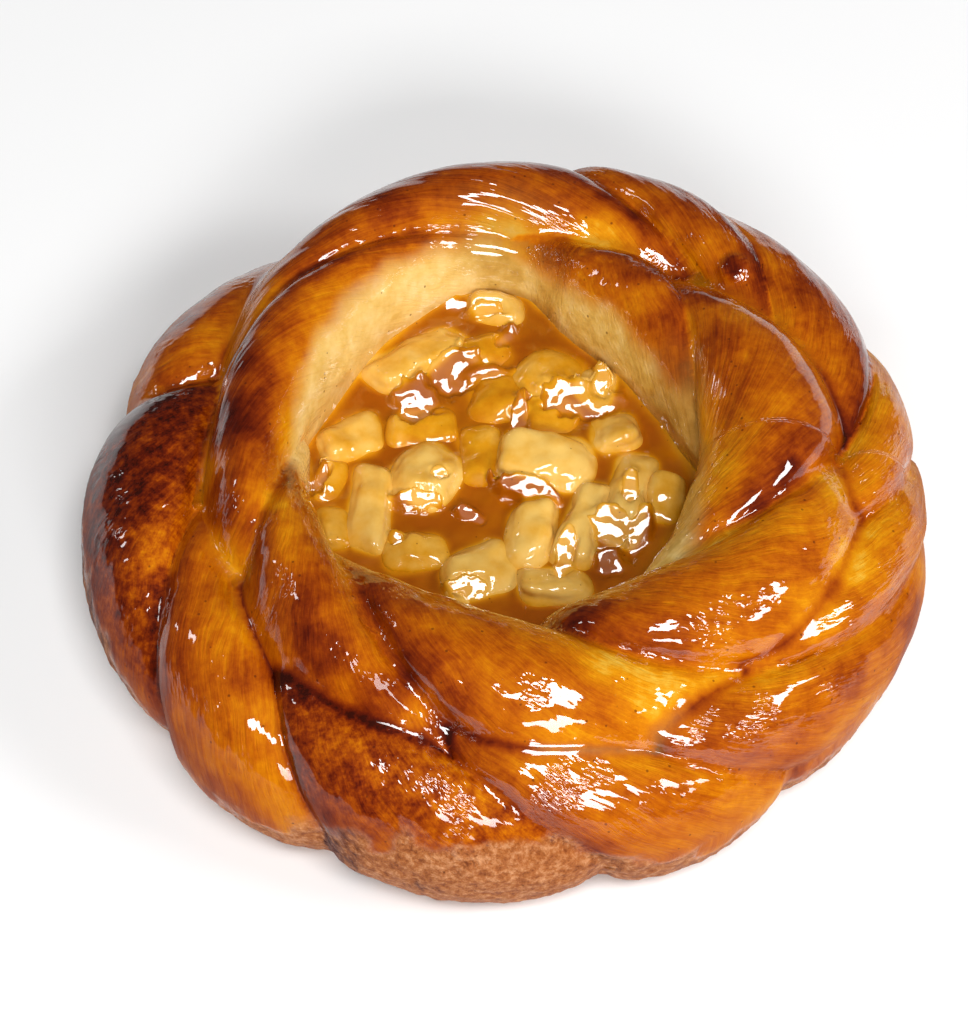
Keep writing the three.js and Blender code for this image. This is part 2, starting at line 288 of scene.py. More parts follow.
def dough_field(points):
    """Distance from the whole dough's surface, negative inside."""
    rope = [turn[0] for turn in turns_of(points)]
    reach = np.hypot(points[:, 0] - COIL_OFFSET[0], points[:, 1] - COIL_OFFSET[1])
    floor_top = FLOOR_TOP + FLOOR_RISE * (reach / FLOOR_RADIUS) ** 2
    floor = np.maximum(points[:, 2] - floor_top, reach - FLOOR_RADIUS)
    fillet = CONTACT_FILLET + SEAM_FILLET * near_seam(points)
    joined = np.array([*rope, floor]) / fillet
    nearest = joined.min(0)
    joined = (nearest - np.log(np.exp(nearest - joined).sum(0))) * fillet
    return np.maximum(joined, -points[:, 2])


def slope_of(field, points):
    """The field and its slope at each point."""
    here = field(points)
    slope = np.empty_like(points)
    for axis in range(3):
        moved = points.copy()
        moved[:, axis] += NEAR_SURFACE
        slope[:, axis] = (field(moved) - here) / NEAR_SURFACE
    return here, slope


def settle(points, field, steps=4, longest=0.7):
    """Moves points to where the field is zero, and gives the outward direction there."""
    for _ in range(steps):
        here, slope = slope_of(field, points)
        steep = np.maximum((slope ** 2).sum(1), LEAST_STEEP)
        move = -slope * (here / steep)[:, None]
        length = np.linalg.norm(move, axis=1)
        move *= np.minimum(1, longest / np.maximum(length, TINY))[:, None]
        points = points + move
    _, slope = slope_of(field, points)
    return points, slope / np.maximum(np.linalg.norm(slope, axis=1), TINY)[:, None]


# ---- meshes ----


def vertices_of(mesh):
    """A mesh's vertices in millimetres."""
    flat = np.empty(len(mesh.vertices) * 3, np.float32)
    mesh.vertices.foreach_get("co", flat)
    return flat.reshape(-1, 3).astype(float) / MM


def set_vertices(mesh, points):
    mesh.vertices.foreach_set("co", (points * MM).astype(np.float32).ravel())
    mesh.update()


def evened(mesh, points, field, rounds=3, share=0.6):
    """Spreads a settled mesh's points evenly, each by a share of the way to its neighbours' middle."""
    ends = np.empty(len(mesh.edges) * 2, np.int32)
    mesh.edges.foreach_get("vertices", ends)
    first = np.concatenate([ends[0::2], ends[1::2]])
    second = np.concatenate([ends[1::2], ends[0::2]])
    count = np.bincount(first, minlength=len(points))
    outward = slope_of(field, points)[1]
    for _ in range(rounds):
        sums = [np.bincount(first, points[second, axis], len(points)) for axis in range(3)]
        move = share * (np.stack(sums, axis=1) / count[:, None] - points)
        along = (move * outward).sum(1) / np.maximum((outward ** 2).sum(1), TINY)
        points, outward = settle(points + move - outward * along[:, None], field, steps=1)
    return points, outward


def paint(mesh, name, values):
    """Keeps a number, or three, for each vertex, for the material to read."""
    values = np.asarray(values, np.float32)
    kind = "FLOAT" if values.ndim == 1 else "FLOAT_VECTOR"
    attribute = mesh.attributes.new(name, kind, "POINT")
    attribute.data.foreach_set("value" if values.ndim == 1 else "vector", values.ravel())


def new_piece(name, mesh, material, slot, *nodes):
    """Puts a mesh in the scene as a piece that rides with the danish and stands for its nodes."""
    mesh.polygons.foreach_set("use_smooth", np.ones(len(mesh.polygons), bool))
    mesh.materials.clear()
    mesh.materials.append(material)
    piece = bpy.data.objects.new(name, mesh)
    bpy.context.scene.collection.objects.link(piece)
    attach(piece, "root")
    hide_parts(*nodes)


def remeshed(node, voxel):
    """A new mesh of even small faces over a node of the model."""
    blank = bpy.data.objects.new("blank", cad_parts[node].data.copy())
    bpy.context.scene.collection.objects.link(blank)
    remesh = blank.modifiers.new("even", "REMESH")
    remesh.mode = "VOXEL"
    remesh.voxel_size = voxel * MM
    seen = blank.evaluated_get(bpy.context.evaluated_depsgraph_get())
    mesh = bpy.data.meshes.new_from_object(seen)
    bpy.data.objects.remove(blank)
    return mesh


# ---- materials ----


def linear(code):
    """A colour written as six hexadecimal digits, as the shaders take it."""
    parts = [int(code[i:i + 2], 16) / 255 for i in (0, 2, 4)]
    return (*[p / 12.92 if p < 0.04045 else ((p + 0.055) / 1.055) ** 2.4 for p in parts], 1)


class Shader:
    """A material's node tree. Each method adds a node and gives its output."""

    def __init__(self, name):
        self.material = bpy.data.materials.new(name)
        self.material.use_nodes = True
        self.tree = self.material.node_tree
        self.surface = self.tree.nodes["Principled BSDF"]

    def put(self, value, socket):
        if isinstance(value, bpy.types.NodeSocket):
            self.tree.links.new(value, socket)
        else:
            socket.default_value = value

    def node(self, kind, values, output=0, **settings):
        made = self.tree.nodes.new(kind)
        for key, value in settings.items():
            setattr(made, key, value)
        for key, value in values.items():
            self.put(value, made.inputs[key])
        return made.outputs[output]

    def attribute(self, name, output="Fac"):
        return self.node("ShaderNodeAttribute", {}, output, attribute_name=name)

    def place(self):
        return self.node("ShaderNodeTexCoord", {}, "Object")

    def stretched(self, vector, sizes):
        return self.node("ShaderNodeMapping", {0: vector, 3: [1 / s for s in sizes]})

    def noise(self, vector, size, detail, roughness=0.5):
        values = {"Vector": vector, "Scale": 1 / size, "Detail": detail, "Roughness": roughness}
        return self.node("ShaderNodeTexNoise", values)

    def cells(self, vector, size):
        return self.node("ShaderNodeTexVoronoi", {"Vector": vector, "Scale": 1 / size})

    def math(self, operation, *values):
        return self.node("ShaderNodeMath", dict(enumerate(values)), operation=operation)

    def centred(self, pattern):
        return self.math("SUBTRACT", pattern, 0.5)

    def plus(self, value, share, pattern):
        """The value with a share of the pattern added."""
        return self.math("MULTIPLY_ADD", pattern, share, value)

    def ranged(self, value, low, high):
        """0 up to low and 1 from high, smoothly, or the other way round where low is the higher."""
        values = {0: value, 1: low, 2: high}
        return self.node("ShaderNodeMapRange", values, interpolation_type="SMOOTHSTEP")

    def ramp(self, value, stops):
        made = self.tree.nodes.new("ShaderNodeValToRGB")
        self.put(value, made.inputs[0])
        elements = made.color_ramp.elements
        while len(elements) < len(stops):
            elements.new(0.5)
        for element, (position, code) in zip(elements, stops):
            element.position = position
            element.color = linear(code)
        return made.outputs[0]

    def mix(self, share, first, second):
        made = self.tree.nodes.new("ShaderNodeMix")
        made.data_type = "RGBA"
        for index, value in ((0, share), (6, first), (7, second)):
            self.put(value, made.inputs[index])
        return made.outputs[2]

    def speckled(self, place, color, specks):
        """The colour with specks over it: [spacing, edge, core, strength, colour]."""
        spacing, edge, core, strength, code = specks
        speck = self.ranged(self.cells(place, spacing), edge, core)
        return self.mix(self.math("MULTIPLY", speck, strength), color, linear(code))

    def bumped(self, *heights):
        """The normal of a relief that adds up pairs of a height in millimetres and its pattern."""
        relief = 0.0
        for height, pattern in heights:
            relief = self.plus(relief, height, pattern)
        return self.node("ShaderNodeBump", {"Height": relief, "Distance": MM})

    def finish(self, **values):
        """Sets the surface's own sockets, with underscores for the spaces in their names."""
        for key, value in values.items():
            self.put(value, self.surface.inputs[key.replace("_", " ")])
        return self.material


# Colours by share, as pairs of the share and the colour there.
BROWNING = [
    (0.00, "E6C46A"), (0.12, "E0AA34"), (0.24, "D98E08"), (0.36, "C97502"), (0.50, "B35A01"),
    (0.62, "984101"), (0.74, "792901"), (0.87, "551301"), (1.00, "310801"),
]
CREAM = [(0.3, "DDB35C"), (0.5, "E9C474"), (0.7, "F2D490")]
# The pale wall's duller tone: painted shade on the right wall, and duller dough at the seam.
DULLER_AND_SHADE_CREAM = [(0.3, "C29440"), (0.5, "DAB25A"), (0.7, "EACB80")]
# Syrup stains on the well's wall, which also carry painted shade on the right wall.
SOAKED_AND_SHADE = [(0.3, "8C5C1C"), (0.7, "B58336")]
BRAN = [(0.3, "74381A"), (0.5, "A05E30"), (0.72, "C88E62")]
BURNT = [(0.3, "2E0F08"), (0.5, "56251A"), (0.72, "8A5A48")]
BURNT_FROM, BURNT_TO = 0.62, 0.80  # how brown a matt place is where bran turns to burnt
FILLING = [
    (0.00, "E2B75E"), (0.20, "DCA53E"), (0.40, "CF8E10"), (0.58, "BE7602"), (0.78, "AA6001"),
    (1.00, "954A00"),
]
# Specks: [spacing, edge and core as shares of it, strength, colour].
CRUST_SPECKS = [2.4 * MM, 0.10, 0.06, 0.6, "451605"]
# Noise: [size, octaves, roughness].
MOTTLE, BLOTCH = [1.6 * MM, 3.0, 0.7], [7.0 * MM, 3.0, 0.6]
CLOUD, CRUMB, THIN = [3.5 * MM, 3.0, 0.6], [1.2 * MM, 3.0, 0.75], [8.0 * MM, 2.0, 0.6]
WET_WAVES = [3.5 * MM, 0.8, 0.5]
# Fibres in the crust: [size along, across and through, octaves, browner by, relief].
FIBRES = [
    [(11.0, 1.5, 6.0), 3.0, 0.30, 0.16],
    [(4.0, 0.45, 5.0), 2.0, 0.20, 0.11],
    [(2.6, 0.20, 3.0), 1.0, 0.14, 0.07],
]
FIBRE_SWAY, SWAY_NOISE, FIBRE_ROUGHNESS = 3.0, [12.0, 1.0, 0.5], 0.6
BLOTCH_BROWN, MOTTLE_BROWN, MOTTLE_RELIEF, CRUMB_RELIEF = 0.40, 0.85, 0.10, 0.45
# Waves in the glaze: [size along, across and through, relief], with grit where it is thin.
GLAZE_WAVES = [[(8.0, 4.0, 5.0), 0.63], [(3.0, 1.2, 2.0), 0.11]]
GRIT_SIZES, GRIT_RELIEF = (1.5, 0.6, 1.2), 0.26
GLAZE_OCTAVES, THIN_EDGE = 1.0, (0.50, 0.60)
LOW_SHADE, LOW_DRY, DRY_COAT = 0.06, 0.95, 0.9  # painted shade makes the lower sides darker, and they have less of a coat
GLAZE_IOR = 1.6
# How far the clouds change the tone, the clouds, the specks, the roughness, and the relief
# with its own noise.
SYRUP = [
    0.6, [5.5 * MM, 3.0, 0.5], [2.2 * MM, 0.07, 0.04, 0.7, "5A2A00"], 0.35, 0.7,
    [4.5 * MM, 1.0, 0.5],
]
APPLE = [
    0.8, [4.0 * MM, 4.0, 0.55], [2.6 * MM, 0.06, 0.035, 0.6, "6A3A08"], 0.4, 0.04,
    [1.4 * MM, 3.0, 0.6],
]


def crust_material():
    s = Shader("glazed_crust")
    fibre = s.attribute("fibre", "Vector")
    place = s.place()
    calm = s.attribute("calm")
    matt = s.attribute("matt")
    low = s.attribute("low")
    sway = s.math("MULTIPLY", s.noise(fibre, *SWAY_NOISE), FIBRE_SWAY)
    sway = s.node("ShaderNodeCombineXYZ", {"Y": sway})
    swayed = s.node("ShaderNodeVectorMath", {0: sway, 1: fibre}, operation="ADD")

    def grained(sizes, detail):
        waves = s.noise(s.stretched(swayed, sizes), 1.0, detail, FIBRE_ROUGHNESS)
        return s.math("MULTIPLY", s.centred(waves), calm)

    brown = s.attribute("brown")
    wrinkles = []
    for sizes, octaves, browner, relief in FIBRES:
        waves = grained(sizes, octaves)
        brown = s.plus(brown, browner, waves)
        wrinkles.append((relief, waves))
    mottle = s.noise(place, *MOTTLE)
    freckles = s.math("MULTIPLY", s.centred(mottle), s.attribute("mottle"))
    brown = s.plus(brown, BLOTCH_BROWN, s.centred(s.noise(place, *BLOTCH)))
    brown = s.plus(brown, MOTTLE_BROWN, freckles)

    cloud = s.noise(place, *CLOUD)
    crumb = s.noise(place, *CRUMB)
    # The pale wall turns duller where painted shade falls on the right wall, and at the seam.
    cream = s.mix(s.attribute("duller_and_shade"), s.ramp(cloud, CREAM), s.ramp(cloud, DULLER_AND_SHADE_CREAM))
    burnt = s.ranged(brown, BURNT_FROM, BURNT_TO)
    rough = s.mix(burnt, s.ramp(crumb, BRAN), s.ramp(crumb, BURNT))
    color = s.mix(s.attribute("pale"), s.ramp(brown, BROWNING), cream)
    # Syrup stains on the wall, and painted shade on the right wall.
    color = s.mix(s.attribute("soaked_and_painted_shade"), color, s.ramp(cloud, SOAKED_AND_SHADE))
    color = s.mix(matt, color, rough)
    color = s.speckled(place, color, CRUST_SPECKS)
    # Painted shade: darker on the lower outer sides, and a little where DULL is.
    color = s.mix(s.math("MULTIPLY", low, LOW_SHADE), color, (0, 0, 0, 1))

    wrinkles += [(MOTTLE_RELIEF, mottle), (CRUMB_RELIEF, s.math("MULTIPLY", crumb, matt))]
    thin = s.ranged(s.noise(place, *THIN), *THIN_EDGE)
    waves = [(relief, grained(sizes, GLAZE_OCTAVES)) for sizes, relief in GLAZE_WAVES]
    waves.append((GRIT_RELIEF, s.math("MULTIPLY", grained(GRIT_SIZES, GLAZE_OCTAVES), thin)))
    dry = s.math("MAXIMUM", matt, s.math("MULTIPLY", low, LOW_DRY))
    return s.finish(
        Base_Color=color, Roughness=0.6, IOR=1.1, Normal=s.bumped(*wrinkles),
        Coat_Weight=s.math("SUBTRACT", 1.0, s.math("MULTIPLY", dry, DRY_COAT)),
        Coat_Roughness=0.04, Coat_IOR=GLAZE_IOR, Coat_Normal=s.bumped(*waves),
    )


def wet_material(name, clouded, cloud, specks, roughness, relief, ripple):
    """Syrup, or fruit steeped in it: clouds and specks under a wet coat."""
    s = Shader(name)
    place = s.place()
    depth = s.plus(s.attribute("depth"), clouded, s.centred(s.noise(place, *cloud)))
    return s.finish(
        Base_Color=s.speckled(place, s.ramp(depth, FILLING), specks),
        Roughness=roughness, Specular_IOR_Level=0.1,
        Normal=s.bumped((relief, s.noise(place, *ripple))),
        Coat_Weight=1.0, Coat_Roughness=0.03, Coat_IOR=GLAZE_IOR,
        Coat_Normal=s.bumped((1.0, s.noise(place, *WET_WAVES))),
    )


# ---- dough ----


# How brown each lobe is baked, and how mottled, in the order of the grooves that they follow.
LOBE_BROWN = [
    0.66, 0.84, 0.58, 0.67, 0.57, 0.55, 0.50, 0.45, 0.66, 0.64, 0.62, 0.57, 0.62, 0.52, 0.51, 0.57,
    0.62, 0.50,
]
LOBE_MOTTLE = [
    0.30, 1.00, 0.20, 1.00, 0.20, 0.40, 0.15, 0.15, 0.15, 0.20, 0.20, 0.20, 0.30, 0.15, 0.20, 0.40,
    0.20, 0.20,
]
LEAST_MOTTLE = 0.35
LOBE_WIDTH = 19.0  # across a strand, from groove to groove
# Places left darker or more golden by the oven or the glaze, and some painted darker as shade, as on the
# left inner turn's outer flank and low on the outer sides: [x, y, z, radius, browner by].
BAKE_AND_SHADE_SPOTS = [
    (-14.7, -28, 34.5, 7, 0.07), (-11.3, -37, 34, 5.5, 0.12), (-6.7, -42, 32, 4, 0.12),
    (27.5, 25.5, 32.6, 4.5, 0.22), (29, 14, 33.9, 6.5, 0.12), (39.8, -8.3, 33, 5, 0.16),
    (27.9, -41.6, 27.9, 5, 0.12), (33.3, -41.5, 26.4, 6, 0.10), (38.9, -40.6, 22.4, 6, 0.04),
    (11, -27.2, 32.2, 5, 0.14), (13.3, -36, 34.8, 5, -0.18), (-36.5, 13, 31, 6, 0.24),
    (-23.9, 35.6, 30.8, 5, 0.16), (-12.5, 40.4, 28.5, 3.5, 0.16), (-29.5, 32.2, 31.1, 6, 0.14),
    (16.7, 50, 27.3, 4.5, 0.04), (21, 44, 27.6, 4, 0.10), (25.2, 39.1, 27.7, 3, 0.06),
    (-44.8, -33.8, 23.9, 6, 0.08), (-48.4, -14.4, 27.5, 6, -0.16), (-17, -46.5, 28, 5, 0.02),
    (-11.2, -52.9, 25.4, 6, 0.04), (-30.2, -15, 35.2, 6, -0.24), (-24, -34.5, 32, 6, 0.24),
    (-16, -40.5, 31, 5, 0.20), (-9.5, -44.5, 30, 4, 0.26), (-37, 2, 31, 7, 0.30),
    (27.7, -8, 31.4, 6, -0.06), (8.4, 32.5, 25.6, 6, 0.04), (-17, 43, 28, 6, 0.14),
    (13.6, 40.8, 26.8, 6, -0.24), (-0.9, 42.9, 26.6, 6, -0.16), (47, -18, 28.5, 5, -0.22),
    (41.8, -26.9, 28.1, 6, -0.12), (33.5, -33.9, 27.8, 5, -0.12), (38, 3, 33.5, 5, -0.10),
    (-37.4, -30.3, 28.4, 5, -0.08), (-33.4, -35.2, 27.4, 5, 0.18), (-28.5, -20, 34.5, 5, -0.14),
    (20, -40, 30.5, 6, -0.12), (6.9, -46.9, 29.1, 5, -0.04), (-25.5, -27, 33.5, 5, 0.12),
    (20.5, 25.5, 31, 5, -0.24), (31.5, -3, 34, 7, -0.12), (-38, -9, 30, 6, 0.22),
    (7.8, 38.7, 27, 5, 0.12), (-30.8, -10.6, 33.6, 4, -0.24), (41, 29, 28.5, 7, 0.10),
    (-34.7, 8, 34.6, 6, 0.12), (-34.9, -3.2, 34, 6, 0.16), (-36.7, -13, 31.4, 5, 0.12),
    (27.5, 27.2, 31, 5, 0.12), (47.3, -2.4, 28.3, 4, 0.10), (50, 7, 27.6, 4.5, 0.06),
    (30.9, 38, 29, 5, -0.08), (35.5, -29, 33, 5, 0.06), (40, -21, 32.5, 5, 0.08),
    (53, -20, 13, 10, 0.22), (45.5, -33, 22, 6, 0.08), (-37.5, -46, 12, 8, 0.18),
    (-21, -50.5, 24, 6, 0.06), (-42, -39.5, 15, 7, 0.10), (27.5, -33, 31, 5, -0.14),
]
SPOT_RAGGED, SPOT_CORE = 0.3, 0.3  # how ragged those places are, and how much of each is even
RAGGED_SIZE, RAGGED_SEED = 5.0, 7  # the noise that makes every edge below ragged
DULL, DULL_RADIUS = (-19.0, -40.5, 31.0), 7.0  # where the inner turn's flank took little glaze
DULL_SHARE, DULL_CORE = 0.8, 0.4
BLISTER = np.array([32.9, 33.3, 28.2])
BLISTER_RADIUS, BLISTER_CORE, BLISTER_HEIGHT, BLISTER_BROWN = 2.6, 0.5, 1.0, 0.85
CROWN = -0.1, 0.8  # the outward direction's Z on the flanks and on the crown
# Browner or paler stretches, each as a change of the browning and a width.
FLANK_GOLD, WALL_GOLD = 0.12, 0.16
START_LINE, START_BROWN, START_WIDTH = 2.0, 0.12, 2.2  # just after a groove
END_GOLD, END_WIDTH = 0.16, 5.0  # before the next one
TURN_GOLD, TURN_WIDTH = 0.14, 4.5  # where two turns of the coil meet
CREASE_SHADE, CREASE_SHADE_WIDTH = 0.20, 2.2  # painted shade there too, at the front left
CREASE_SHADE_X, CREASE_SHADE_Y = (6, -14), (-29, -37)
# Dark lines in the grooves and where two turns meet: painted shade in those creases, with glaze pooled
# there.
GROOVE_LINE, GROOVE_WIDTH = 0.20, 1.2
TURN_LINE, TURN_LINE_WIDTH = 0.36, 0.9
# Those lines come in patches, and are nearly whole at the front.
PATCH_SIZE, PATCH_SEED, PATCH_EDGE = 11.0, 9, (-0.3, 0.2)
FRONT_LINE, FRONT_Y = 0.9, -20
GLAZE_LINE, GLAZE_WIDTH = 0.25, 0.7  # a pale line of glaze at the front, between two turns
GLAZE_LEFT, GLAZE_RIGHT = (2, 6), (25, 19)
CALM_FROM, CALM_TO, SEAM_CALM = 0.8, 1.8, 2.6  # how near another turn the fibres fade out
TURN_GAP = 10.0  # keeps the fibres of one turn apart from the next one's
# How far round the section the wall of the well starts to be pale, by coil angle.
PALE_EDGE = smooth_track([
    (420, 170), (440, 150), (455, 138), (475, 130), (505, 127), (530, 138), (545, 150), (565, 165),
    (650, 165), (680, 132), (700, 138), (725, 150), (745, 156), (760, 150), (783, 136), (800, 132),
    (812, 106), (822, 84), (836, 60),
])
PALE_FROM = 420  # the coil angle where the well's wall starts
PALE_BEFORE, PALE_AFTER, GOLDEN_BEFORE, PALE_RAGGED = 8, 16, 38, 5
PAINTED_SHADE_ALONG, PAINTED_SHADE_RAGGED = (560, 720), 12  # where the pale wall turns duller, round to the right and back, as painted shade on the right
SEAM_X, SEAM_RAGGED, SEAM_BACK = (-11, -1), 3, 20  # it is dull there too, at the seam
LOW_ANGLE, LOW_CLEAR = (58, 20), 2  # the outer flank, painted darker as shade, but for where another turn touches it
# Darker places on the well's wall: a syrup stain at the syrup's level, painted shade on the right, and
# where the seam melts.
STAIN_TOP, STAIN_FULL, STAIN_RAGGED = 3.2, 0.8, 1.4  # above the syrup's level
STAIN, STAIN_RIGHT, STAIN_ALONG = 0.3, 0.5, (640, 700)
SHADED, SHADED_HEIGHT, SHADED_RAGGED = 0.85, (32, 25), 2
SHADED_START, SHADED_END = (676, 705), (764, 742)
MELTED = 0.6
# Height up to which the outer turn is rough and unglazed, by coil angle.
MATT_TOP = smooth_track([
    (108, 6), (160, 15), (185, 19), (200, 17), (225, 8), (240, 13), (250, 17.5), (262, 20),
    (278, 18.5), (287, 14), (300, 10), (330, 9), (400, 7), (460, 6),
])
MATT_RAGGED, MATT_EDGE = 3.4, 1.4
MATT_FRINGE = [(1.5, 2.2, 8)]
UNDERSIDE = -0.55, -0.75  # the outward direction's Z there
# Relief in layers of [height, size, seed].
LUMPS = [(0.40, 14.0, 1), (0.16, 6.0, 2)]
WRINKLES = [(0.14, (16.0, 4.0, 9.0), 3), (0.05, (9.0, 1.8, 9.0), 4)]
CRUMBS = [(0.22, 2.4, 5), (0.14, 1.4, 6)]
WRINKLE_SWAY = [(2.5, 12.0, 10)]
FLAT_FOOT = 0.0, 1.5  # heights between which the relief sets in


def dough_relief(points, where):
    """How far the baked surface stands above the smooth coil, in millimetres."""
    fibre, matt = where["fibre"], where["matt"]
    swayed = fibre + np.outer(layered(fibre, WRINKLE_SWAY), (0, 1, 0))
    relief = layered(points, LUMPS) + layered(swayed, WRINKLES) * where["calm"] * (1 - matt)
    relief += layered(points, CRUMBS) * matt + BLISTER_HEIGHT * where["blister"]
    return relief * fade(points[:, 2], *FLAT_FOOT)


def rope_places(points):
    """Where on the rope each point of the dough's surface is, with lengths in millimetres."""
    turns = turns_of(points)
    distances = np.array([np.abs(turn[0]) for turn in turns])
    nearest = distances.argmin(0)
    along, section, passed = (
        np.choose(nearest, [turn[i] for turn in turns]) for i in (1, 2, 3)
    )
    since = passed - np.floor(passed)
    from_start, to_end = since * LOBE_WIDTH, (1 - since) * LOBE_WIDTH
    size = (half_width_at(along) + half_height_at(along)) / 2
    down_strand = (np.radians(along) * radius_at(along) - section * size) / math.sqrt(2)
    return SimpleNamespace(
        turn=nearest, along=along, section=section,
        lobe=np.clip(np.floor(passed), 0, len(LOBE_BROWN) - 1).astype(int),
        from_start=from_start, to_end=to_end, groove=np.minimum(from_start, to_end),
        contact=np.sort(distances, axis=0)[1],
        fibre=np.stack([down_strand, passed * LOBE_WIDTH, TURN_GAP * nearest], axis=1),
    )


def matt_places(points, outward, rope, rough):
    """How rough and unglazed the dough is: low on the outer turn and underneath."""
    top = MATT_TOP(rope.along) + MATT_RAGGED * rough + layered(points, MATT_FRINGE)
    matt = fade(points[:, 2], top + MATT_EDGE, top - MATT_EDGE) * (rope.turn == 0)
    return np.maximum(matt, fade(outward[:, 2], *UNDERSIDE))


def stain_and_shade_places(points, rope, rough):
    """How far the wall of the well is darkened: by a syrup stain, by painted shade on the right, and where
    it melts into the seam.
    """
    height = points[:, 2] - SYRUP_LEVEL
    stain = fade(height, STAIN_TOP + STAIN_RAGGED * rough, STAIN_FULL)
    stain *= STAIN + STAIN_RIGHT * fade(rope.along, *STAIN_ALONG)
    # Painted shade on the lower right wall.
    shaded = fade(points[:, 2] + SHADED_RAGGED * rough, *SHADED_HEIGHT)
    shaded *= fade(rope.along, *SHADED_START) * fade(rope.along, *SHADED_END)
    soaked_and_painted_shade = np.maximum(stain, SHADED * shaded)
    soaked_and_painted_shade = np.maximum(soaked_and_painted_shade, MELTED * near_seam(points))
    return soaked_and_painted_shade * (rope.section > math.pi / 2)


def browning_and_shade(points, rope, rough, crown, golden):
    """How brown the dough is baked, with painted shade in its creases and at some spots, as a share of
    BROWNING.
    """
    x, y, _ = points.T
    brown = np.array(LOBE_BROWN)[rope.lobe] - FLANK_GOLD * (1 - crown)
    brown += START_BROWN * bell(rope.from_start - START_LINE, START_WIDTH)
    brown -= END_GOLD * bell(rope.to_end, END_WIDTH)
    brown -= TURN_GOLD * bell(rope.contact, TURN_WIDTH) + WALL_GOLD * golden
    # Spots baked darker or more golden, some of them painted shade.
    for *spot, radius, browner in BAKE_AND_SHADE_SPOTS:
        reach = np.linalg.norm(points - spot, axis=1) * (1 + SPOT_RAGGED * rough)
        brown += browner * fade(reach, radius, SPOT_CORE * radius)
    # Painted shade in the crease between the two turns at the front left.
    front_left = fade(x, *CREASE_SHADE_X) * fade(y, *CREASE_SHADE_Y)
    brown += CREASE_SHADE * bell(rope.contact, CREASE_SHADE_WIDTH) * front_left
    patchy = fade(bumps(points, PATCH_SIZE, PATCH_SEED), *PATCH_EDGE)
    patchy = np.maximum(patchy, FRONT_LINE * (y < FRONT_Y))
    # Dark lines in the grooves and creases: painted shade, with pooled glaze.
    lines = GROOVE_LINE * bell(rope.groove, GROOVE_WIDTH)
    lines += TURN_LINE * bell(rope.contact, TURN_LINE_WIDTH)
    return brown + patchy * lines


def dough_places(points, outward):
    """What the material and the relief go by, for each vertex."""
    x, y, _ = points.T
    rope = rope_places(points)
    angle = np.degrees(rope.section)
    rough = bumps(points, RAGGED_SIZE, RAGGED_SEED)
    crown = fade(outward[:, 2], *CROWN)
    matt = matt_places(points, outward, rope, rough)

    pale_edge = PALE_EDGE(rope.along) + PALE_RAGGED * rough
    inside = rope.along > PALE_FROM
    pale = fade(angle, pale_edge - PALE_BEFORE, pale_edge + PALE_AFTER) * inside
    golden = fade(angle, pale_edge - GOLDEN_BEFORE, pale_edge) * inside
    glaze_line = bell(rope.contact, GLAZE_WIDTH) * fade(x, *GLAZE_LEFT) * fade(x, *GLAZE_RIGHT) * (y < 0)
    pale = np.maximum(pale, GLAZE_LINE * glaze_line)
    # A duller pale at the seam, and painted shade on the right wall.
    seam = fade(x + SEAM_RAGGED * rough, *SEAM_X) * (y > SEAM_BACK)
    duller_and_shade = np.maximum(fade(rope.along + PAINTED_SHADE_RAGGED * rough, *PAINTED_SHADE_ALONG), seam)

    to_dull = np.linalg.norm(points - DULL, axis=1)
    to_blister = np.linalg.norm(points - BLISTER, axis=1)
    # low: the outer flank, painted darker as shade and given less of a coat, and DULL as well
    low = fade(angle, *LOW_ANGLE) * (rope.contact > LOW_CLEAR) * (1 - matt)
    low = np.maximum(low, DULL_SHARE * fade(to_dull, DULL_RADIUS, DULL_CORE * DULL_RADIUS))
    blister = fade(to_blister, BLISTER_RADIUS, BLISTER_CORE * BLISTER_RADIUS)
    brown = np.maximum(browning_and_shade(points, rope, rough, crown, golden), BLISTER_BROWN * blister)
    mottle = np.maximum(np.array(LOBE_MOTTLE)[rope.lobe], LEAST_MOTTLE) * crown * (1 - pale)
    return {
        "fibre": rope.fibre, "matt": matt, "brown": brown, "pale": pale, "mottle": mottle,
        "blister": blister, "duller_and_shade": duller_and_shade, "soaked_and_painted_shade": stain_and_shade_places(points, rope, rough),
        "low": low, "calm": fade(rope.contact - SEAM_CALM * near_seam(points), CALM_FROM, CALM_TO),
    }


def make_dough():
    mesh = remeshed("dough", DOUGH_VOXEL)
    points, outward = settle(vertices_of(mesh), dough_field)
    points, outward = evened(mesh, points, dough_field)
    where = dough_places(points, outward)
    points += outward * dough_relief(points, where)[:, None]
    points[:, 2] = np.maximum(points[:, 2], 0)
    set_vertices(mesh, points)
    for name, values in where.items():
        paint(mesh, name, values)
    new_piece("crust", mesh, crust_material(), "crust", "dough")


# ---- apple ----


PIECE_FACTOR, TRAIT_FACTOR, WAVE_FACTOR = 12.9898, 78.233, 43758.5453


def uneven(piece, trait):
    """A repeatable number from -1 to 1 for each pair of whole numbers."""
    wave = math.sin(piece * PIECE_FACTOR + trait * TRAIT_FACTOR) * WAVE_FACTOR
    return 2 * (wave - math.floor(wave)) - 1


def turned(x, y, degrees):
    """Coordinates turned anticlockwise."""
    cos, sin = math.cos(math.radians(degrees)), math.sin(math.radians(degrees))
    return x * cos - y * sin, x * sin + y * cos


